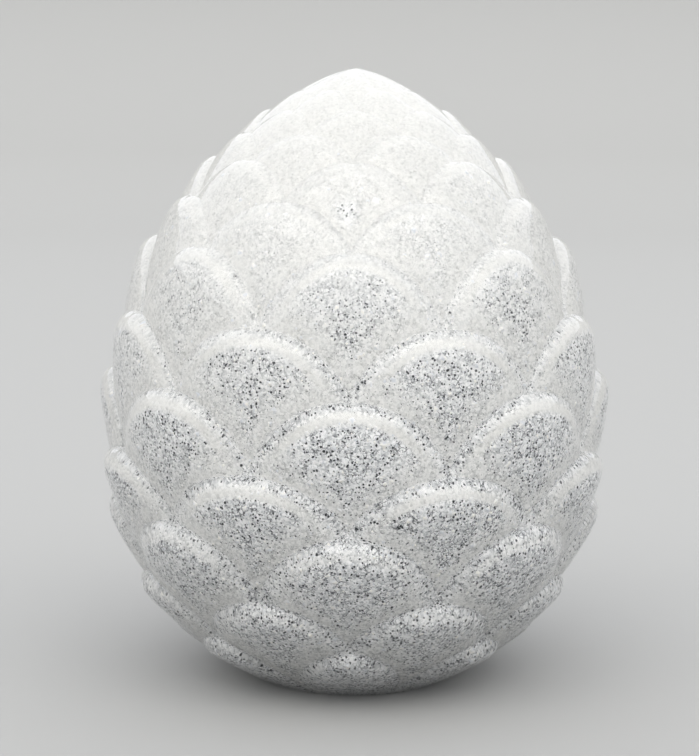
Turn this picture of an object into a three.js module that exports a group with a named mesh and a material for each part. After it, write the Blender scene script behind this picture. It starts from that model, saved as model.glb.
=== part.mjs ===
// A blown glass ornament in the shape of an artichoke: an egg-shaped body wrapped in rows of overlapping,
// round-topped bracts that stagger from row to row and close at the crown.
// Millimetres, +Z up. The origin is the centre of the flat foot that the ornament stands on, and a bract
// of every second row faces -Y.

import * as THREE from 'three';

// Driving dimensions
const HEIGHT = 160; // foot to crown
const BODY_RADIUS = 62.6; // of the body at its widest, under the bracts
const WIDEST_HEIGHT = 63.3; // of the widest place above the foot
const FOOT_RADIUS = 27; // of the flat underside
const BRACT_THICKNESS = 6.6; // of a bract at its upper edge, where the body is widest
const LEDGE_WIDTH = 5.6; // of the round shoulder along a bract's upper edge, at the same place
const BRACTS_PER_ROW = 8;

// Proportions of the form
const CREASE_SHARES = [0.108, 0.194, 0.308, 0.398, 0.513, 0.615, 0.726, 0.796, 0.855, 0.895, 0.932, 0.964];
const CROWN_SHARPNESS = 2.22; // a larger power keeps the body full for longer above its widest place
const CROWN_TAPER = 0.72; // 0.5 would round the crown like a ball, and 1 would end it in a point
const ARCH_FULLNESS = 2.1; // a larger power makes the middle of a bract's upper edge flatter
const ARCH_STEEPNESS = 0.8; // a smaller power makes the two ends of that edge steeper
const SIDE_THINNING = 0.65; // share of its thickness that a bract loses from its middle to its sides
const TAPER_POWER = 1.15; // how a bract thins from its upper edge down to nothing two rows below
const GIRTH_POWER = 1.45; // how the bracts thin where the body narrows

// Facets of each bract
const COLUMNS = 8; // across, an even number, so that the staggered rows share their corners
const LEDGE_STEPS = 3; // down the round shoulder
const FACE_STEPS = 2; // down the rest of the visible face
const WELD = 1e-4; // corners that lie closer than this are one

const HALF_BRACT = Math.PI / BRACTS_PER_ROW;
const CREASES = [0, ...CREASE_SHARES.map((share) => share * HEIGHT), HEIGHT];
const LAST_ROW = CREASES.length - 2;
const UNDER_REACH = WIDEST_HEIGHT / Math.sqrt(1 - (FOOT_RADIUS / BODY_RADIUS) ** 2);

// The plain body's radius at a height: an ellipse below the widest place, and a power curve up to the crown.
function bodyRadius(z) {
  if (z < WIDEST_HEIGHT) return BODY_RADIUS * Math.sqrt(1 - ((WIDEST_HEIGHT - z) / UNDER_REACH) ** 2);
  const rise = Math.min((z - WIDEST_HEIGHT) / (HEIGHT - WIDEST_HEIGHT), 1);
  return BODY_RADIUS * (1 - rise ** CROWN_SHARPNESS) ** CROWN_TAPER;
}

// The body's outward direction at a height, as radial and upward parts, from two places close to it.
function bodyNormal(z) {
  const step = 1e-4 * HEIGHT;
  const low = Math.max(z - step, 0);
  const high = Math.min(z + step, HEIGHT);
  return new THREE.Vector2(high - low, bodyRadius(low) - bodyRadius(high)).normalize();
}

// A place's row number runs from -1 at the foot to LAST_ROW at the crown and is a whole number at each crease.
function creaseHeight(place) {
  const below = Math.min(Math.floor(place), LAST_ROW - 1);
  return THREE.MathUtils.lerp(CREASES[below + 1], CREASES[below + 2], place - below);
}

// How far a bract's upper edge has dropped, in rows, at a share across from its middle (0) to its side (1).
function archDrop(across) {
  return 1 - (1 - across ** ARCH_FULLNESS) ** ARCH_STEEPNESS;
}

// How much longer the shoulder is straight down than square to the sloping edge of the arch.
function archStretch(row, across) {
  const inner = 1 - across ** ARCH_FULLNESS;
  const slope = ARCH_STEEPNESS * ARCH_FULLNESS * inner ** (ARCH_STEEPNESS - 1) * across ** (ARCH_FULLNESS - 1);
  return Math.hypot(1, (slope * row.pitch) / row.halfWidth);
}

// Each row's distance down to the next crease along the body, its bracts' half width and its shoulder.
const rows = CREASES.slice(1).map((crease, index) => {
  const radiusBelow = bodyRadius(CREASES[index]);
  const radius = bodyRadius(crease);
  const widest = Math.max(radius, radiusBelow);
  return {
    pitch: Math.hypot(crease - CREASES[index], radius - radiusBelow),
    halfWidth: HALF_BRACT * widest,
    ledge: (LEDGE_WIDTH * widest) / BODY_RADIUS,
  };
});

// A bract's profile from its edge (0) over the round shoulder to its full thickness (1): a quarter circle.
function shoulder(rowNumber, across, drop) {
  const row = rows[rowNumber];
  const inward = (row.pitch * (drop - archDrop(across))) / archStretch(row, across);
  const share = THREE.MathUtils.clamp(inward / row.ledge, 0, 1);
  return Math.sqrt(1 - (1 - share) ** 2);
}

// A bract's thickness as a share of the full one: less at its sides, and nothing two rows below its edge.
function thinning(across, drop) {
  return (1 - SIDE_THINNING * across ** 2) * Math.max(1 - drop / 2, 0) ** TAPER_POWER;
}

// Height of the carved surface off the plain body. The row above runs down behind this one.
function reliefHeight(rowNumber, across, drop) {
  const above = rowNumber + 1;
  const behind =
    above > LAST_ROW ? 0 : thinning(1 - across, drop + 1) * shoulder(above, 1 - across, drop + 1);
  const share = THREE.MathUtils.lerp(behind, thinning(across, drop), shoulder(rowNumber, across, drop));
  const place = rowNumber - drop;
  const girth = bodyRadius(creaseHeight(place)) / BODY_RADIUS;
  const footFade = Math.sin((Math.PI / 2) * Math.min(place + 1, 1));
  return BRACT_THICKNESS * girth ** GIRTH_POWER * footFade * share;
}

// A corner of the carved surface, pushed out from the body square to it.
function surfacePoint(rowNumber, angle, across, drop) {
  const z = creaseHeight(rowNumber - drop);
  const radius = bodyRadius(z);
  if (radius === 0) return new THREE.Vector3(0, 0, HEIGHT);
  const relief = reliefHeight(rowNumber, across, drop);
  const normal = bodyNormal(z);
  const reach = radius + relief * normal.x;
  return new THREE.Vector3(reach * Math.sin(angle), -reach * Math.cos(angle), z + relief * normal.y);
}

// The places down one column of a bract's visible face, in rows below its crease: the shoulder's steps
// first, and then even steps to where the two bracts of the row below begin.
function columnDrops(rowNumber, across) {
  const top = rowNumber === LAST_ROW ? 0 : archDrop(across);
  const bottom = rowNumber === 0 ? 1 : 1 + archDrop(1 - across);
  const row = rows[rowNumber];
  const shoulderDrop = Math.min((row.ledge * archStretch(row, across)) / row.pitch, 0.7 * (bottom - top));
  const drops = [];
  for (let step = 0; step <= LEDGE_STEPS; step++) {
    drops.push(top + shoulderDrop * (1 - Math.cos((step / LEDGE_STEPS) * (Math.PI / 2))));
  }
  for (let step = 1; step <= FACE_STEPS; step++) {
    drops.push(THREE.MathUtils.lerp(top + shoulderDrop, bottom, step / FACE_STEPS));
  }
  return drops;
}

// Collects triangles whose corners are shared, and leaves out the ones that have shrunk to a line.
class SharedMesh {
  positions = [];
  indices = [];
  known = new Map();

  corner(point) {
    const key = point.toArray().map((value) => Math.round(value / WELD)).join();
    if (!this.known.has(key)) {
      this.known.set(key, this.positions.length / 3);
      this.positions.push(...point.toArray());
    }
    return this.known.get(key);
  }

  triangle(a, b, c) {
    if (a !== b && b !== c && c !== a) this.indices.push(a, b, c);
  }

  geometry() {
    const result = new THREE.BufferGeometry();
    result.setAttribute('position', new THREE.Float32BufferAttribute(this.positions, 3));
    result.setIndex(this.indices);
    result.computeVertexNormals();
    return result;
  }
}

// The visible face of one bract, as a grid of quads from its arched edge down to the next row's arches.
function addBract(mesh, rowNumber, middleAngle) {
  let left;
  for (let column = 0; column <= COLUMNS; column++) {
    const side = (2 * column) / COLUMNS - 1;
    const across = Math.abs(side);
    const angle = middleAngle + side * HALF_BRACT;
    const drops = columnDrops(rowNumber, across);
    const right = drops.map((drop) => mesh.corner(surfacePoint(rowNumber, angle, across, drop)));
    for (let step = 1; left && step < right.length; step++) {
      mesh.triangle(left[step - 1], left[step], right[step]);
      mesh.triangle(left[step - 1], right[step], right[step - 1]);
    }
    left = right;
  }
}

// The flat underside, as a fan of triangles inside the lowest ring of corners.
function addFoot(mesh) {
  const sides = BRACTS_PER_ROW * COLUMNS;
  const centre = mesh.corner(new THREE.Vector3());
  const rim = Array.from({ length: sides }, (_, index) => {
    const angle = (index / sides) * 2 * Math.PI;
    return mesh.corner(new THREE.Vector3(FOOT_RADIUS * Math.sin(angle), -FOOT_RADIUS * Math.cos(angle), 0));
  });
  rim.forEach((corner, index) => mesh.triangle(centre, rim[(index + 1) % sides], corner));
}

function artichokeGeometry() {
  const mesh = new SharedMesh();
  for (let rowNumber = 0; rowNumber <= LAST_ROW; rowNumber++) {
    const stagger = (rowNumber % 2) * HALF_BRACT;
    for (let bract = 0; bract < BRACTS_PER_ROW; bract++) {
      addBract(mesh, rowNumber, stagger + bract * 2 * HALF_BRACT);
    }
  }
  addFoot(mesh);
  return mesh.geometry();
}

// Clear glass over a thick layer of crushed white glass
const speckledGlass = new THREE.MeshStandardMaterial({ color: 0xd9dcdb, roughness: 0.15, metalness: 0 });

const artichoke = new THREE.Mesh(artichokeGeometry(), speckledGlass);
artichoke.name = 'glass_artichoke';

const ornament = new THREE.Group();
ornament.add(artichoke);

export default ornament;
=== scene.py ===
# %% [markdown]
# # A blown glass artichoke
#
# The real ornament starts as a gather of clear glass on a blowpipe. The maker rolls it in crushed white
# glass, which is called frit, cases it in another layer of clear glass, and blows it out in a mould that
# gives it its rows of overlapping bracts.
# So the look comes from three layers, and this lesson builds each one as a mesh of its own: a skin of clear
# glass, the bed of white frit that lies under it, and the larger chips of frit that stand in that bed.
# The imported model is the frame. It holds the true size of the ornament, and everything here stays inside it.

# %% Load the frame
import math

import bpy
import numpy as np
from mathutils import Matrix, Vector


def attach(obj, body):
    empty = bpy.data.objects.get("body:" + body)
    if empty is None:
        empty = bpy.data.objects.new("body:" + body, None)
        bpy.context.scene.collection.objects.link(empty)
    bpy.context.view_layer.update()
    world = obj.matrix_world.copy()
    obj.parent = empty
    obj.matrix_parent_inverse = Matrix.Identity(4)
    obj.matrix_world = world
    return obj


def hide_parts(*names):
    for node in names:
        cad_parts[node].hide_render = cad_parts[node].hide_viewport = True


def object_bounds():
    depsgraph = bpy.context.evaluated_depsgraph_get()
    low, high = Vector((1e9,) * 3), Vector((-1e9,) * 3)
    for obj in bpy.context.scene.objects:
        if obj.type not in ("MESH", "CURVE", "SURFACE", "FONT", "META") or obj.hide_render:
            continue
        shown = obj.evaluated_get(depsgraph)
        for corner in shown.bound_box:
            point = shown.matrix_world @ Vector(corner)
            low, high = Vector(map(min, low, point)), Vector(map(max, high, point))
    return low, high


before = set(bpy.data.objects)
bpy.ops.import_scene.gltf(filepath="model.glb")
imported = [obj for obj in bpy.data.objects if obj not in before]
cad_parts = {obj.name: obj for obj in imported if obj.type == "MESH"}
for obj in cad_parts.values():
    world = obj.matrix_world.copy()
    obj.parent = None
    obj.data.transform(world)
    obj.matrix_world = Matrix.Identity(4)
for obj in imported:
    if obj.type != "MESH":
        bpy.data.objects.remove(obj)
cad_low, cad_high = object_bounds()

MM = 0.001
HEIGHT = cad_high.z / MM
print(f"the frame is {HEIGHT:.1f} mm tall and {2 * cad_high.x / MM:.1f} mm wide")

# %% [markdown]
# ## The egg under the bracts
#
# A blown egg could be a scaled sphere, but its widest place would then lie halfway up. A radius for each
# height puts it where the real one has it: an ellipse runs from the foot to the widest place, and a power
# curve runs on from there to the crown. All lengths are in millimetres until the mesh is written.

# %% The plain body
BODY_RADIUS = 62.6  # at the widest place, under the bracts
WIDEST_HEIGHT = 63.3  # of that place above the foot
FOOT_RADIUS = 27.0  # of the flat underside
CROWN_SHARPNESS = 2.22  # a larger power keeps the body full for longer above its widest place
CROWN_TAPER = 0.72  # 0.5 would round the crown like a ball, and 1 would end it in a point
HAIR = 1e-4  # the step over which a direction is measured, as a share of the height
UNDER_REACH = WIDEST_HEIGHT / math.sqrt(1 - (FOOT_RADIUS / BODY_RADIUS) ** 2)


def body_radius(z):
    """Radius of the body: root of one minus a square below the widest place, one minus a power above."""
    below = np.clip((WIDEST_HEIGHT - z) / UNDER_REACH, 0, 1)
    above = np.clip((z - WIDEST_HEIGHT) / (HEIGHT - WIDEST_HEIGHT), 0, 1)
    lower = np.sqrt(1 - below**2)
    upper = (1 - above**CROWN_SHARPNESS) ** CROWN_TAPER
    return BODY_RADIUS * np.where(z < WIDEST_HEIGHT, lower, upper)


def body_normal(z):
    """Outward direction at a height, as radial and upward parts, from the radii a hair above and below."""
    step = HAIR * HEIGHT
    low, high = np.maximum(z - step, 0), np.minimum(z + step, HEIGHT)
    run, rise = high - low, body_radius(low) - body_radius(high)
    length = np.hypot(run, rise)
    return run / length, rise / length


print(f"the plain body is {2 * BODY_RADIUS:.1f} mm across, {WIDEST_HEIGHT:.1f} mm above the foot")

# %% [markdown]
# ## Rows of bracts
#
# Each bract could be modelled alone and set in place, but glass from a mould has one unbroken skin, and
# overlapping copies would show seams through it. So the skin is one surface over two numbers: the angle
# round the egg, and a place up it, counted in rows. The place is a whole number at the crease over each row.
# A bract's upper edge is an arch between creases. Inside the arch the skin steps up over a round shoulder,
# and then it thins away until it passes behind the two bracts of the row below.

# %% Places and arches
BRACTS_PER_ROW = 8
HALF_BRACT = math.pi / BRACTS_PER_ROW
# The creases over the rows, as shares of the height, where the photo shows them.
CREASE_SHARES = [0.108, 0.194, 0.308, 0.398, 0.513, 0.615, 0.726, 0.796, 0.855, 0.895, 0.932, 0.964]
CREASES = HEIGHT * np.array([0, *CREASE_SHARES, 1])
LAST_ROW = len(CREASES) - 2
ARCH_FULLNESS = 2.1  # a larger power makes the middle of a bract's upper edge flatter
ARCH_STEEPNESS = 0.8  # a smaller power makes the two ends of that edge steeper
LEDGE_WIDTH = 5.6  # of the round shoulder along that edge, where the body is widest
TINY = 1e-9  # keeps a power from dividing by zero, and allows for rounding in a sum

ring_radius = body_radius(CREASES)
row_widest = np.maximum(ring_radius[1:], ring_radius[:-1])
row_pitch = np.hypot(np.diff(CREASES), np.diff(ring_radius))
row_half_width = HALF_BRACT * row_widest
row_ledge = LEDGE_WIDTH * row_widest / BODY_RADIUS


def crease_height(place):
    """Height of a place: straight between the creases on either side of it."""
    return np.interp(place, np.arange(-1, LAST_ROW + 1), CREASES)


def arch_drop(across):
    """Rows that an arch has dropped, from its middle (0) to its side (1): one minus a double power."""
    return 1 - (1 - across**ARCH_FULLNESS) ** ARCH_STEEPNESS


def arch_stretch(row, across):
    """How much longer the shoulder is straight down than square to the arch: one over a cosine."""
    inner = np.maximum(1 - across**ARCH_FULLNESS, TINY)
    bend = inner ** (ARCH_STEEPNESS - 1) * across ** (ARCH_FULLNESS - 1)
    slope = ARCH_STEEPNESS * ARCH_FULLNESS * bend * row_pitch[row] / row_half_width[row]
    return np.hypot(1, slope)


def inward(row, across, drop):
    """Distance from the arch into the bract, square to the arch, in millimetres."""
    return row_pitch[row] * (drop - arch_drop(across)) / arch_stretch(row, across)


print(f"{LAST_ROW + 1} rows of {BRACTS_PER_ROW}, {row_pitch.min():.1f} to {row_pitch.max():.1f} mm apart")

# %% [markdown]
# ## Relief, and the layers under the skin
#
# The clear skin and the frit have the same bracts, but the frit is softer: thick glass lies over it at the
# shoulders. The shoulders look smooth and creamy from the lamp's reflection in the skin and from a smooth
# cream band painted into the frit under it, a painted highlight, while the faces show every grain.
# One function gives both. It takes the depth of the layer below the skin, how much of the relief it keeps,
# how much wider its shoulders are, and how much of the round shoulder gives way to a soft S, as in a fillet.

# %% The relief of one layer
BRACT_THICKNESS = 6.6  # at its upper edge, where the body is widest
SIDE_THINNING = 0.65  # share of its thickness that a bract loses from its middle to its sides
TAPER_POWER = 1.15  # how a bract thins from its upper edge down to nothing two rows below
GIRTH_POWER = 1.45  # how the bracts thin where the body narrows


def ease(value, start, end):
    """0 before start, 1 after end, and a smooth S between them."""
    share = np.clip((value - start) / (end - start), 0, 1)
    return share**2 * (3 - 2 * share)


def shoulder(row, across, drop, widening, fillet):
    """Rise over the shoulder, from 0 at the arch to 1 inside it: a quarter circle mixed with a soft S."""
    share = np.clip(inward(row, across, drop) / (row_ledge[row] * widening), 0, 1)
    quarter = np.sqrt(1 - (1 - share) ** 2)
    return quarter + (ease(share, 0, 1) - quarter) * fillet


def thinning(across, drop):
    """Thickness as a share of the full one: less towards the sides, and nothing two rows down."""
    return (1 - SIDE_THINNING * across**2) * np.maximum(1 - drop / 2, 0) ** TAPER_POWER


def relief(row, across, drop, widening, fillet):
    """Height off the plain body: the bract's own thickness mixed over what runs down behind it."""
    behind = np.zeros_like(drop)
    if row < LAST_ROW:
        above = shoulder(row + 1, 1 - across, drop + 1, widening, fillet)
        behind = thinning(1 - across, drop + 1) * above
    own = shoulder(row, across, drop, widening, fillet)
    share = behind + (thinning(across, drop) - behind) * own
    girth = body_radius(crease_height(row - drop)) / BODY_RADIUS
    foot_fade = np.sin(np.pi / 2 * np.clip(row - drop + 1, 0, 1))
    return BRACT_THICKNESS * girth**GIRTH_POWER * foot_fade * share


print(f"a bract stands up to {BRACT_THICKNESS} mm off the body")

# %% [markdown]
# ## Where the corners go
#
# A shoulder turns quickly and a face hardly bends, so an even grid would waste its corners on the faces.
# A cosine spaces the rows of corners along the quarter circle instead, and even steps cover the rest.
# Each corner is then pushed out from the plain body, square to it, as the glass swells into the mould.

# %% The grid of one bract
MOST_OF_FACE = 0.7  # share of a face that its shoulder may cover


def bract_grid(row, columns, ledge_steps, face_steps):
    """Side (-1 to 1) and drop of each corner of a bract's visible face, closer together on the shoulder."""
    side = np.linspace(-1, 1, columns + 1)[:, None]
    across = np.abs(side)
    top = np.zeros_like(across) if row == LAST_ROW else arch_drop(across)
    bottom = np.ones_like(across) if row == 0 else 1 + arch_drop(1 - across)
    ledge = row_ledge[row] * arch_stretch(row, across) / row_pitch[row]
    ledge = np.minimum(ledge, MOST_OF_FACE * (bottom - top))
    turn = 1 - np.cos(np.linspace(0, np.pi / 2, ledge_steps + 1))
    down = np.linspace(0, 1, face_steps + 1)[1:]
    drop = np.hstack([top + ledge * turn, top + ledge + (bottom - top - ledge) * down])
    return np.broadcast_to(side, drop.shape), drop


def layer_points(row, side, drop, depth, keep, widening, fillet):
    """Corners of a row's bracts: out from the body's meridian square to it, and turned round the axis."""
    z = crease_height(row - drop)
    lift = keep * relief(row, np.abs(side), drop, widening, fillet) - depth
    radial, upward = body_normal(z)
    at_pole = row - drop >= LAST_ROW - TINY
    reach = np.where(at_pole, 0, np.maximum(body_radius(z) + lift * radial, 0))
    height = np.where(at_pole, HEIGHT - depth, z + lift * upward)
    middles = (np.arange(BRACTS_PER_ROW) * 2 + row % 2) * HALF_BRACT
    angle = middles[:, None, None] + side * HALF_BRACT
    height = np.broadcast_to(height, angle.shape)
    return np.stack([reach * np.sin(angle), -reach * np.cos(angle), height], -1)


print(f"the lowest row's bracts are {2 * row_half_width[0]:.1f} mm wide")

# %% [markdown]
# ## One closed mesh from all the bracts
#
# The grids meet exactly, because a bract's arch is also the lower edge of the two bracts above it. Blender
# could merge the doubled corners by distance, but numpy does it in one call: rounded places that are equal
# become one vertex. Quads that have shrunk to a line at the ends of an arch are left out.

# %% Weld the grids into a mesh
WELD = 1e-3  # the step to which places are rounded before equal ones become one corner


def welded(points, quads):
    """Corners that round to the same place become one, and each quad becomes the triangles that remain."""
    _, first, merged = np.unique(np.round(points / WELD), axis=0, return_index=True, return_inverse=True)
    triangles = merged.reshape(-1)[np.concatenate([quads[:, [0, 1, 2]], quads[:, [0, 2, 3]]])]
    a, b, c = triangles.T
    return first, triangles[(a != b) & (b != c) & (c != a)]


def grid_quads(index):
    """The quads of grids of corners, from the numbers of the corners, over the last two directions."""
    corners = [index[..., :-1, :-1], index[..., :-1, 1:], index[..., 1:, 1:], index[..., 1:, :-1]]
    return np.stack(corners, -1).reshape(-1, 4)


def layer_mesh(columns, ledge_steps, face_steps, **layer):
    """All rows of one layer, down to the foot: corners, triangles, and each corner's row, side and drop."""
    points, quads, places, count = [], [], [], 0
    for row in range(LAST_ROW + 1):
        side, drop = bract_grid(row, columns, ledge_steps, face_steps)
        bracts = layer_points(row, side, drop, **layer)
        index = count + np.arange(bracts[..., 0].size).reshape(bracts.shape[:3])
        quads.append(grid_quads(index))
        points.append(bracts.reshape(-1, 3))
        place = np.stack([np.full(side.shape, row), side, drop], -1)
        places.append(np.broadcast_to(place, bracts.shape).reshape(-1, 3))
        count += index.size
    points, quads, places = np.concatenate(points), np.concatenate(quads), np.concatenate(places)
    first, triangles = welded(points, quads)
    return points[first], triangles, places[first]


def close_foot(points, triangles):
    """Adds the flat underside: a fan from the middle to the lowest ring, which is in order of its angle."""
    lowest = points[:, 2].min()
    rim = np.flatnonzero(points[:, 2] < lowest + WELD)
    rim = rim[np.argsort(np.arctan2(points[rim, 0], -points[rim, 1]))]
    fan = np.stack([np.full(len(rim), len(points)), np.roll(rim, -1), rim], -1)
    return np.vstack([points, [[0, 0, lowest]]]), np.vstack([triangles, fan])


def new_piece(name, points, triangles, material):
    """A smooth-shaded object at the origin, whose corners are given in millimetres."""
    mesh = bpy.data.meshes.new(name)
    mesh.from_pydata(points * MM, [], triangles)
    mesh.shade_smooth()
    mesh.materials.append(material)
    piece = bpy.data.objects.new(name, mesh)
    bpy.context.scene.collection.objects.link(piece)
    print(f"{name}: {len(triangles)} triangles")
    return piece


print(f"places are rounded to {WELD} mm")

# %% [markdown]
# ## Materials
#
# Colours are given as sRGB hex values, but Blender mixes light in linear values, so one function
# turns them over. Another adds a node with its settings and links, and is all that the node trees need.

# %% Colour and node helpers
def linear(hex_colour):
    """sRGB hex to linear: a short straight part near black and a power of 2.4 above it."""
    srgb = np.array([int(hex_colour[i : i + 2], 16) for i in (1, 3, 5)]) / 255
    return (*np.where(srgb <= 0.04045, srgb / 12.92, ((srgb + 0.055) / 1.055) ** 2.4), 1.0)


def add_node(tree, kind, settings=None, stops=(), **inputs):
    """Adds a node, and sets its properties, its ramp's stops and its inputs.

    An input is given by its name, or by its number after an underscore, as in _0. A node that is given
    as an input is linked by its first output."""
    node = tree.nodes.new("ShaderNode" + kind)
    for name, value in (settings or {}).items():
        setattr(node, name, value)
    for index, (position, colour) in enumerate(stops):
        elements = node.color_ramp.elements
        element = elements[index] if index < len(elements) else elements.new(1.0)
        element.position, element.color = position, linear(colour)
    for name, value in inputs.items():
        key = int(name[1:]) if name[1:].isdigit() else name.replace("_", " ")
        if isinstance(value, bpy.types.Node):
            value = value.outputs[0]
        if isinstance(value, bpy.types.NodeSocket):
            tree.links.new(value, node.inputs[key])
        else:
            node.inputs[key].default_value = value
    return node


def new_material(name):
    """An empty material and its node tree."""
    material = bpy.data.materials.new(name)
    material.use_nodes = True
    material.node_tree.nodes.clear()
    return material, material.node_tree


print("mid grey is", round(linear("#808080")[0], 3), "in linear light")

# %% [markdown]
# ### The clear skin
#
# Soda-lime glass, fire-polished when it leaves the mould: an index of 1.5 and almost no roughness, which
# gives the eye its bright, soft-edged reflections of the lamp along each shoulder.
# Light from a lamp would only reach the frit as a caustic, which is slow to render, so rays that look for
# a lamp pass straight through instead.

# %% Clear glass
GLASS_TINT = "#fbfbfb"
GLASS_INDEX = 1.5

clear_glass, tree = new_material("fire_polished_clear_glass")
glass = add_node(
    tree,
    "BsdfPrincipled",
    Base_Color=linear(GLASS_TINT),
    Roughness=0.03,
    IOR=GLASS_INDEX,
    Transmission_Weight=1.0,
)
path = add_node(tree, "LightPath")
open_way = add_node(tree, "BsdfTransparent", Color=linear("#ffffff"))
mixed = add_node(tree, "MixShader", _0=path.outputs["Is Shadow Ray"], _1=glass, _2=open_way)
add_node(tree, "OutputMaterial", Surface=mixed)
print(f"{clear_glass.name} has an index of {GLASS_INDEX}")

# %% [markdown]
# ### The bed of white frit
#
# Frit is sieved, so its grains are of one size, here about 0.7 mm, with fines of about 0.4 mm between them.
# Each grain is a cell of a Voronoi texture, and the cell's random colour says how white it is. A little
# noise added to the place first makes the grains ragged, as crushed glass is.
# The real fines go down to dust. They are drawn no finer than 0.4 mm, because smaller ones would average
# out to a plain grey from where the camera stands.
# A value stored on the mesh says where the bed is loose, and also carries painted light: the smooth cream
# shoulder bands, the whiter crown and the darker sides. A cloudy noise varies it, and where it is low the
# grains fade into an even, creamy white.

# %% White frit: the grains
GRAIN = 0.70 * MM
FINE_GRAIN = 0.40 * MM
RAGGED = 0.60 * MM  # how far the noise moves a place
RAGGED_OVER = 0.75 * MM  # the distance over which that changes
PATCH = 3.2 * MM  # size of the clouds in which the bed is looser or closer
UNEVEN = 1.3  # how much those clouds change the openness, from one to the next
GRAIN_SHARE = 0.55  # of the whiteness that the grains decide, and not the fines
GRAIN_TONES = [(0.14, "#6a6e72"), (0.29, "#c0c2c4"), (0.52, "#e8e9e9"), (0.72, "#ffffff")]
# packed frit, and also painted light where the shoulder bands and the crown use it
PACKED_FRIT_AND_PAINTED_LIGHT = "#dfded9"
MOST_PACKED = 0.8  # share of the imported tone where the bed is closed
ALL_LOOSE = 0.9  # openness at which none of it is left

times = {"operation": "MULTIPLY"}
times_plus = {"operation": "MULTIPLY_ADD"}
frit_bed, tree = new_material("crushed_white_glass_bed")
place = add_node(tree, "TexCoord").outputs["Object"]
stored = add_node(tree, "Attribute", {"attribute_name": "openness_and_painted_light"}).outputs["Fac"]
patches = add_node(tree, "TexNoise", Vector=place, Scale=1 / PATCH, Detail=3.0).outputs["Fac"]
unevenness = add_node(tree, "Math", times_plus, _0=patches, _1=UNEVEN, _2=1 - UNEVEN / 2)
openness_and_painted_light = add_node(tree, "Math", {**times, "use_clamp": True}, _0=stored, _1=unevenness)
wander = add_node(tree, "TexNoise", Vector=place, Scale=1 / RAGGED_OVER, Detail=2.5).outputs["Color"]
ragged = add_node(tree, "VectorMath", times_plus, _0=wander, _1=(RAGGED, RAGGED, RAGGED), _2=place)
grains = add_node(tree, "TexVoronoi", Vector=ragged, Scale=1 / GRAIN)
fines = add_node(tree, "TexVoronoi", Vector=ragged, Scale=1 / FINE_GRAIN).outputs["Color"]
coarse = add_node(tree, "Math", times, _0=grains.outputs["Color"], _1=GRAIN_SHARE)
whiteness = add_node(tree, "Math", times_plus, _0=fines, _1=1 - GRAIN_SHARE, _2=coarse)
tones = add_node(tree, "ValToRGB", stops=GRAIN_TONES, Fac=whiteness)
# where the value is low the bed takes the packed cream tone: packed frit, and painted light along the
# shoulders and at the crown
packing_and_painted_light = add_node(tree, "MapRange", Value=openness_and_painted_light, From_Max=ALL_LOOSE, To_Min=MOST_PACKED, To_Max=0.0)
bed_tone = add_node(tree, "Mix", {"data_type": "RGBA"}, _0=packing_and_painted_light, _6=tones, _7=linear(PACKED_FRIT_AND_PAINTED_LIGHT))
print(f"{frit_bed.name}: grains of {GRAIN / MM:.1f} mm and fines of {FINE_GRAIN / MM:.1f} mm")

# %% [markdown]
# The ornament's unlit inside shows in two ways: through pinholes where a grain is missing, and along
# joints between clusters of grains. Its dark tone there is painted shade, mixed into the bed's colour.
# Both are Voronoi textures again: a pinhole is the middle of a cell, as wide as the cell's random colour
# says, and a joint is its edge. Openness makes them wider or closes them.

# %% White frit: the pinholes and joints
PINHOLE_SPACING = 0.80 * MM
NARROWEST_FROM = 0.80  # value of a cell's colour from which its hole is the narrowest
PINHOLE_RADII = (0.47, 0.14)  # of the widest and narrowest hole, as shares of the spacing
PINHOLE_RIM = (-0.05, 0.08)  # depths inside a hole between which white turns to dark, as such shares
PINHOLES_OPEN = (0.06, 0.60)  # openness between which the holes go from shut to full width
JOINT_SPACING = 1.2 * MM
JOINT_RIM = (0.02, 0.09)  # distances from an edge between which dark turns to white, as such shares
JOINT_PATCHES = (0.45, 0.60)  # values of the clouds between which joints appear
JOINT_DARKNESS = 0.8  # share of the dark tone that a joint takes at most
# painted shade: the unlit inside of the ornament, seen through the pinholes and joints
PAINTED_INSIDE_SHADE = "#202428"

holes = add_node(tree, "TexVoronoi", Vector=ragged, Scale=1 / PINHOLE_SPACING)
hole_radius = add_node(
    tree,
    "MapRange",
    Value=holes.outputs["Color"],
    From_Max=NARROWEST_FROM,
    To_Min=PINHOLE_RADII[0],
    To_Max=PINHOLE_RADII[1],
)
widely = add_node(
    tree, "MapRange", Value=openness_and_painted_light, From_Min=PINHOLES_OPEN[0], From_Max=PINHOLES_OPEN[1]
)
open_radius = add_node(tree, "Math", times, _0=hole_radius, _1=widely)
off_middle = holes.outputs["Distance"]
hole_depth = add_node(tree, "Math", {"operation": "SUBTRACT"}, _0=open_radius, _1=off_middle)
hole = add_node(tree, "MapRange", Value=hole_depth, From_Min=PINHOLE_RIM[0], From_Max=PINHOLE_RIM[1])

to_edge = {"feature": "DISTANCE_TO_EDGE"}
joints = add_node(tree, "TexVoronoi", to_edge, Vector=ragged, Scale=1 / JOINT_SPACING)
joint = add_node(
    tree,
    "MapRange",
    Value=joints,
    From_Min=JOINT_RIM[0],
    From_Max=JOINT_RIM[1],
    To_Min=1.0,
    To_Max=0.0,
)
patchy = add_node(
    tree,
    "MapRange",
    Value=patches,
    From_Min=JOINT_PATCHES[0],
    From_Max=JOINT_PATCHES[1],
    To_Max=JOINT_DARKNESS,
)
joint_there = add_node(tree, "Math", times, _0=joint, _1=patchy)
joint_open = add_node(tree, "Math", times, _0=joint_there, _1=openness_and_painted_light)
gap = add_node(tree, "Math", {"operation": "MAXIMUM"}, _0=hole, _1=joint_open)
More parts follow.
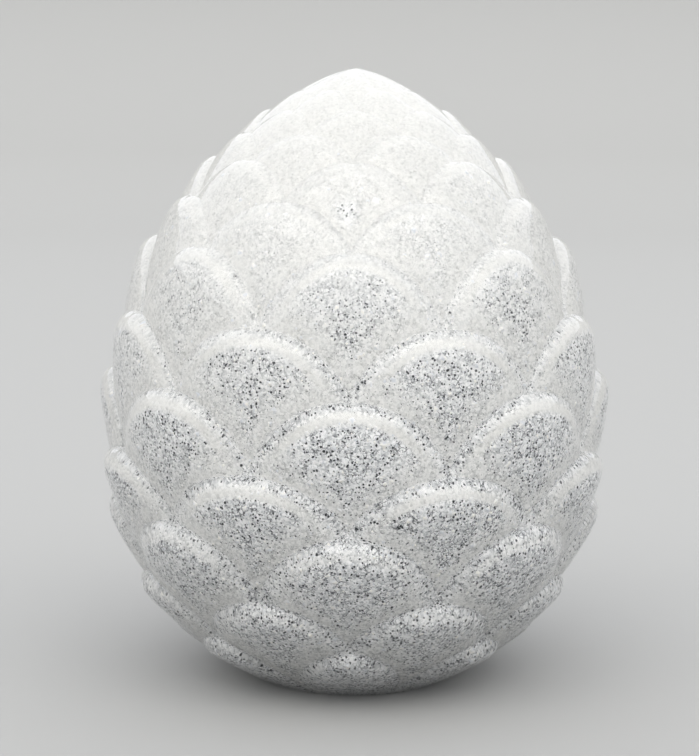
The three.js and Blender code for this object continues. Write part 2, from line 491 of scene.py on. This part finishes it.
# the pinholes and joints take the painted shade of the unlit inside
bed_colour = add_node(
    tree, "Mix", {"data_type": "RGBA"}, _0=gap, _6=bed_tone.outputs[2], _7=linear(PAINTED_INSIDE_SHADE)
)
widest_hole = 2 * PINHOLE_RADII[0] * PINHOLE_SPACING / MM
print(f"{frit_bed.name}: pinholes up to {widest_hole:.2f} mm wide, {PINHOLE_SPACING / MM:.1f} mm apart")

# %% [markdown]
# The clear glass has run in between the grains, and their tops stand a little out of the bed. A bump as
# high as that, from the distance to each grain's middle, shades them without a single extra face. A dull
# surface with a little sheen stands for the many tiny breaks in crushed glass.
# Glass hardly reflects where it lies in glass, so the index of the frit is 1.2 and not the usual 1.5.

# %% White frit: the surface
GRAIN_STANDS_OUT = 0.18 * MM
FRIT_INDEX = 1.2

standing = add_node(tree, "Math", {"operation": "SUBTRACT"}, _0=1.0, _1=grains.outputs["Distance"])
bump = add_node(tree, "Bump", Height=standing, Distance=GRAIN_STANDS_OUT, Strength=0.6)
bed = add_node(
    tree,
    "BsdfPrincipled",
    Base_Color=bed_colour.outputs[2],
    Normal=bump,
    Roughness=0.6,
    IOR=FRIT_INDEX,
    Sheen_Weight=0.3,
)
add_node(tree, "OutputMaterial", Surface=bed)
print(f"{frit_bed.name}: a grain stands {GRAIN_STANDS_OUT / MM:.2f} mm out of the bed")

# %% [markdown]
# ### The larger chips
#
# A few grains in every hundred slipped through the sieve whole. They are opaque white with a cream cast,
# broken with a dull surface, and give the eye the bright flecks in the bed.

# %% White chips
CAST_PATCH = 1.2 * MM  # the distance over which their tone changes, which is about a chip's width
CHIP_TONES = [(0.35, "#d9dce0"), (0.50, "#ececec"), (0.65, "#fbf9f2")]

chip_glass, tree = new_material("white_glass_chips")
place = add_node(tree, "TexCoord").outputs["Object"]
cast = add_node(tree, "TexNoise", Vector=place, Scale=1 / CAST_PATCH)
chip_tone = add_node(tree, "ValToRGB", stops=CHIP_TONES, Fac=cast)
chip = add_node(tree, "BsdfPrincipled", Base_Color=chip_tone, Roughness=0.5, IOR=FRIT_INDEX)
add_node(tree, "OutputMaterial", Surface=chip)
print(chip_glass.name, "has", len(CHIP_TONES), "tones")

# %% [markdown]
# ## The skin
#
# The skin comes first and takes the place of the plain model. It keeps a hair less than the full relief, so
# that it stays inside the model's box. Its corners lie closer together than the bed's, because a polished
# surface shows each bend in what it reflects.

# %% Build the skin
SKIN_GRID = (32, 9, 12)  # steps across a bract, over its shoulder and down its face

skin_points, skin_triangles, _ = layer_mesh(
    *SKIN_GRID, depth=0, keep=0.985, widening=1.25, fillet=0.12
)
skin_points, skin_triangles = close_foot(skin_points, skin_triangles)
skin = new_piece("clear_glass_skin", skin_points, skin_triangles, clear_glass)
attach(skin, "root")
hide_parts("glass_artichoke")

# %% [markdown]
# ## The bed of frit
#
# The bed lies 1.2 mm under the skin, with softer bracts. The way it was rolled and blown decides where it is
# loose, and painted light is laid into the same value. It is loosest on the face of each bract, below the
# shoulder, and white in the valleys between them. Under the thick glass of the shoulder it is packed in a
# smooth cream band, set where the lamp's reflection falls, so that it is also a painted highlight. Between
# that band and the crease above it the grains show again, as a dotted line that draws the bract's outline. The
# bands fade towards the foot. Everything closes up towards the crown, which paints the upper body whiter and
# smoother, as light from above makes it.
# This could be painted as a mask, but each of these is a distance that the grid knows, so a few eased steps
# give the whole pattern, the same on every bract and sharp at any zoom.

# %% Corners of the bed
FRIT_DEPTH = 1.2
BED_GRID = (24, 7, 9)

bed_points, bed_triangles, bed_places = layer_mesh(
    *BED_GRID, depth=FRIT_DEPTH, keep=0.75, widening=1.1, fillet=0.5
)
row, side, drop = bed_places.T
row = row.astype(int)
across = np.abs(side)
print(f"the bed has {len(bed_points)} corners, {FRIT_DEPTH} mm under the skin")

# %% [markdown]
# Places inside a bract are counted from its arch, as shares of the shoulder's width, and places across it
# from its middle to its side. Each pair of numbers is where a change starts and where it is complete.

# %% Where the bed is loose
VALLEY_OPENNESS = 0.33
CREASE_OPENNESS = 0.90
FACE_OPENNESS = 1.15
CREASE_FADE = (0.20, 0.56)
# the smooth band under each shoulder is packed frit set where the lamp's reflection falls, so it is also a
# painted highlight
BAND_START = (0.42, 0.56)
BAND_END = (0.77, 0.88)
BAND_ACROSS = (0.40, 0.80)
BAND_PACKING_AND_HIGHLIGHT = np.array([0.1, 0.15, 0.3, 0.7, 0.95, 0.95, 0.9] + [0.6] * 6)  # for each row, from the foot
FACE_ACROSS = (0.40, 0.90)
VALLEY_REACH = 0.6  # rows above the lower arches from which the face is fully loose
STEEPEST_STRETCH = 1.6  # the stretch grows without limit at the ends of an arch, so it stops here
# painted light from above: between these heights the bed closes up, so the upper body is painted whiter and
# smoother towards the crown
PAINTED_TOP_LIGHT_HEIGHTS = (46, 158)


def outward(row, across, drop):
    """Distance above the arches of the row below, in rows, square to the arch where that isn't too steep."""
    stretch = np.minimum(arch_stretch(np.maximum(row - 1, 0), 1 - across), STEEPEST_STRETCH)
    return np.where(row == 0, 1, (1 + arch_drop(1 - across) - drop) / stretch)


def bract_openness_and_highlight(row, across, drop):
    """The valleys' value, raised on the face, at the crease and in loose bands, and lowered by packing in the
    shoulder band, which also paints the lamp's highlight.
    """
    inside = inward(row, across, drop) / row_ledge[row]
    packed_and_highlight = BAND_PACKING_AND_HIGHLIGHT[row]
    crease = 1 - ease(inside, *CREASE_FADE)
    loose_band = (1 - crease) * (1 - ease(inside, *BAND_END)) * (1 - packed_and_highlight)
    face = ease(inside, *BAND_END) * (1 - ease(across, *FACE_ACROSS))
    face = face * ease(outward(row, across, drop), 0, VALLEY_REACH)
    band = ease(inside, *BAND_START) * (1 - ease(inside, *BAND_END)) * (1 - ease(across, *BAND_ACROSS))
    on_face = (FACE_OPENNESS - VALLEY_OPENNESS) * face
    on_edge = (CREASE_OPENNESS - VALLEY_OPENNESS) * (crease + loose_band)
    return (VALLEY_OPENNESS + on_face + on_edge) * (1 - packed_and_highlight * band)


# closing up towards the crown is painted light from above
loose_and_painted_light = bract_openness_and_highlight(row, across, drop) * (1 - ease(bed_points[:, 2], *PAINTED_TOP_LIGHT_HEIGHTS))
print(f"openness on the bracts runs from {loose_and_painted_light.min():.2f} to {loose_and_painted_light.max():.2f}")

# %% [markdown]
# Two opposite sides, the front right and the back left, are left looser and so darker, and the sides a quarter
# turn from them closer and whiter: this is painted shade. Rolling the hot glass in the frit left less of it at
# one spot near the crown. Both could be drawn by hand with a weight brush, but numbers can be changed again
# later. A cosine of twice the angle gives the sides, and an eased distance gives the spot. The openness then
# goes into the mesh as an attribute, where the material reads it.

# %% Uneven rolling, and the bed as a piece
# painted shade: the bed is looser and darker towards this direction and the opposite one
SHADED_SIDE = math.radians(22)  # direction of the sides with less frit, from the front
PAINTED_SIDE_SHADE = 0.18  # half of what the openness loses a quarter turn away from them
THIN_SPOT = (math.radians(-1.5), 125.5)  # direction from the front, and height
THIN_SPOT_RADIUS = 4.5
THIN_SPOT_OPENNESS = 0.6

angle = np.arctan2(bed_points[:, 0], -bed_points[:, 1])
loose_and_painted_light = loose_and_painted_light * (1 - PAINTED_SIDE_SHADE * (1 - np.cos(2 * (angle - SHADED_SIDE))))
round_body = np.hypot(bed_points[:, 0], bed_points[:, 1]) * (angle - THIN_SPOT[0])
off_spot = np.hypot(round_body, bed_points[:, 2] - THIN_SPOT[1])
loose_and_painted_light = loose_and_painted_light + THIN_SPOT_OPENNESS * (1 - ease(off_spot, 0, THIN_SPOT_RADIUS))

bed_points, bed_triangles = close_foot(bed_points, bed_triangles)
loose_and_painted_light = np.append(loose_and_painted_light, 0)
frit = new_piece("white_frit_bed", bed_points, bed_triangles, frit_bed)
frit.data.attributes.new("openness_and_painted_light", "FLOAT", "POINT").data.foreach_set("value", loose_and_painted_light)
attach(frit, "root")
print(f"openness runs from {loose_and_painted_light.min():.2f} to {loose_and_painted_light.max():.2f}")

# %% [markdown]
# ## Chips in the bed
#
# Particles could scatter the chips, but they would be dropped from an exported model, and each chip needs
# only eight faces. So numpy picks places all over the bed, more of them on larger triangles and where the
# bed is loose, and sets a crooked octahedron on each one: two pairs of corners across it and one pair
# through it, each corner at its own distance.

# %% Build the chips
CHIP_COUNT = 5000
CHIP_WIDTHS = (0.6, 2.2)
CHIP_RARITY = 2.5  # a larger power makes wide chips rarer
CHIP_FLATNESS = 0.45  # thickness as a share of the width
CHIP_CROOKEDNESS = (0.55, 1.25)  # shares of half the width at which a corner lies
CHIP_SEED = 7
LOWEST_CHIP = 4.0  # above the foot, so that none reaches the floor
UPPER_FACES = [[0, 1, 4], [1, 2, 4], [2, 3, 4], [3, 0, 4]]
LOWER_FACES = [[1, 0, 5], [2, 1, 5], [3, 2, 5], [0, 3, 5]]
CHIP_FACES = np.array(UPPER_FACES + LOWER_FACES)

rng = np.random.default_rng(CHIP_SEED)


def unit(vectors):
    """Vectors of length one."""
    return vectors / np.linalg.norm(vectors, axis=-1, keepdims=True)


def scatter(points, triangles, weight, count):
    """Places picked over a mesh by triangle area and corner weight, and the outward direction at each."""
    corners = points[triangles]
    normal = np.cross(corners[:, 1] - corners[:, 0], corners[:, 2] - corners[:, 0])
    area = np.linalg.norm(normal, axis=1)
    chance = area * weight[triangles].mean(1)
    picked = rng.choice(len(triangles), count, p=chance / chance.sum())
    share = rng.dirichlet((1, 1, 1), count)
    return (corners[picked] * share[..., None]).sum(1), normal[picked] / area[picked, None]


centre, out = scatter(bed_points, bed_triangles, loose_and_painted_light, CHIP_COUNT)
above_foot = centre[:, 2] > LOWEST_CHIP
centre, out = centre[above_foot], out[above_foot]
along = unit(np.cross(out, unit(rng.normal(size=out.shape))))
largest_share = rng.random(len(centre)) ** CHIP_RARITY
width = CHIP_WIDTHS[0] * (CHIP_WIDTHS[1] / CHIP_WIDTHS[0]) ** largest_share
axes = np.stack([along, np.cross(out, along), out * CHIP_FLATNESS], 1)
arms = np.concatenate([axes[:, :2], -axes[:, :2], axes[:, 2:], -axes[:, 2:]], 1)
arms = arms * (width / 2)[:, None, None] * rng.uniform(*CHIP_CROOKEDNESS, (len(centre), 6, 1))
chip_points = (centre[:, None] + arms).reshape(-1, 3)
chip_triangles = (CHIP_FACES + 6 * np.arange(len(centre))[:, None, None]).reshape(-1, 3)
chips = new_piece("white_frit_chips", chip_points, chip_triangles, chip_glass)
chips.data.shade_flat()
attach(chips, "root")
print(f"{len(centre)} chips, {width.min():.1f} to {width.max():.1f} mm wide")

# %% [markdown]
# ## The studio
#
# The floor is a sheet of pale paper that curves up behind the ornament, here all the way round it, so that
# it looks the same from every side. Matt paper gives the eye a soft shadow and no reflection.

# %% Floor
FLAT_RINGS = [(0, 0), (300, 0), (900, 0), (1500, 0)]  # radius and height
RISING_RINGS = [(1900, 60), (2150, 260), (2250, 600), (2270, 800)]
FLOOR_RINGS = FLAT_RINGS + RISING_RINGS
FLOOR_SIDES = 96
FLOOR_PAPER = "#aeaeac"

floor_paper, tree = new_material("pale_floor_paper")
paper = add_node(tree, "BsdfPrincipled", Base_Color=linear(FLOOR_PAPER), Roughness=0.9)
add_node(tree, "OutputMaterial", Surface=paper)


def floor_mesh():
    """A flat disc with a rim that curves up: each ring's radius and height, turned round the axis."""
    radius, height = np.array(FLOOR_RINGS, float).T[:, :, None]
    turn = np.linspace(0, 2 * np.pi, FLOOR_SIDES + 1)
    height = np.broadcast_to(height, (len(FLOOR_RINGS), len(turn)))
    points = np.stack([radius * np.sin(turn), -radius * np.cos(turn), height], -1)
    index = np.arange(height.size).reshape(height.shape)
    first, triangles = welded(points.reshape(-1, 3), grid_quads(index))
    return points.reshape(-1, 3)[first], triangles[:, ::-1]


floor = new_piece("floor", *floor_mesh(), floor_paper)

# %% [markdown]
# ### Light
#
# A glass piece is photographed in a light tent: white cloth all round, brightest overhead where the lamp is.
# An area lamp could stand for it, but its hard edges would show in every reflection. The world can be the
# tent itself: a strength that falls off smoothly round one direction, over a weaker glow that fades
# downwards. The lamp has a twin in the opposite direction, which the floor hides.

# %% Light tent
LAMP_ELEVATION = 56  # degrees above the horizon, on the camera's side
LAMP_HALF_ANGLES = (66, 25)  # degrees from its middle to its side and to its top
LAMP_SOFT_EDGE = (1.0, 0.6)  # shares of the way out from its middle, where it starts and where it is full
LAMP_STRENGTH = 1.52
LAMP_COLOUR = "#fffbf3"
TENT_COLOUR = "#f0f2f7"
TENT_STRENGTHS = (0.45, 1.39)  # below and above
TENT_RISE = (-0.3, 0.35)  # sines of the elevations between which it changes

world = bpy.data.worlds.new("light_tent")
world.use_nodes = True
bpy.context.scene.world = world
tree = world.node_tree
tree.nodes.clear()
direction = add_node(tree, "TexCoord").outputs["Generated"]
lamp_frame = add_node(
    tree,
    "Mapping",
    {"vector_type": "TEXTURE"},
    Vector=direction,
    Rotation=(math.radians(90 - LAMP_ELEVATION), 0, 0),
    Scale=(*np.sin(np.radians(LAMP_HALF_ANGLES)), 1),
)
flat = add_node(tree, "VectorMath", times, _0=lamp_frame, _1=(1, 1, 0))
off_lamp = add_node(tree, "VectorMath", {"operation": "LENGTH"}, _0=flat).outputs["Value"]
lamp = add_node(
    tree,
    "MapRange",
    {"interpolation_type": "SMOOTHSTEP"},
    Value=off_lamp,
    From_Min=LAMP_SOFT_EDGE[0],
    From_Max=LAMP_SOFT_EDGE[1],
    To_Max=LAMP_STRENGTH,
)
upward = add_node(tree, "SeparateXYZ", Vector=direction).outputs["Z"]
glow = add_node(
    tree,
    "MapRange",
    Value=upward,
    From_Min=TENT_RISE[0],
    From_Max=TENT_RISE[1],
    To_Min=TENT_STRENGTHS[0],
    To_Max=TENT_STRENGTHS[1],
)
lamp_light = add_node(tree, "Background", Color=linear(LAMP_COLOUR), Strength=lamp)
tent_light = add_node(tree, "Background", Color=linear(TENT_COLOUR), Strength=glow)
both = add_node(tree, "AddShader", _0=lamp_light, _1=tent_light)
add_node(tree, "OutputWorld", Surface=both)
print(f"the lamp is {LAMP_ELEVATION} degrees up")

# %% [markdown]
# ### Camera
#
# The photo was taken from about half a metre away, level with the crown and looking slightly down. A lens
# and a place that agree with the creases and the outline in it give the same view here.

# %% Camera
CAMERA_DISTANCE = 537.7
CAMERA_HEIGHT = 159.5
SIDESTEP = -1.26
PITCH_DOWN = 8.54  # this and the next two are in degrees
ROLL = 0.35
AZIMUTH = 1.2
FOCAL_LENGTH = 97.6
SENSOR_WIDTH = 36.0

camera = bpy.data.objects.new("camera", bpy.data.cameras.new("camera"))
camera.data.lens = FOCAL_LENGTH
camera.data.sensor_width = SENSOR_WIDTH
camera.matrix_world = (
    Matrix.Rotation(math.radians(AZIMUTH), 4, "Z")
    @ Matrix.Translation((SIDESTEP * MM, -CAMERA_DISTANCE * MM, CAMERA_HEIGHT * MM))
    @ Matrix.Rotation(math.radians(90 - PITCH_DOWN), 4, "X")
    @ Matrix.Rotation(math.radians(ROLL), 4, "Z")
)
bpy.context.scene.collection.objects.link(camera)
bpy.context.scene.camera = camera
bpy.context.scene.view_settings.view_transform = "Standard"
print(f"the camera is {CAMERA_DISTANCE:.0f} mm away and looks {PITCH_DOWN} degrees down")
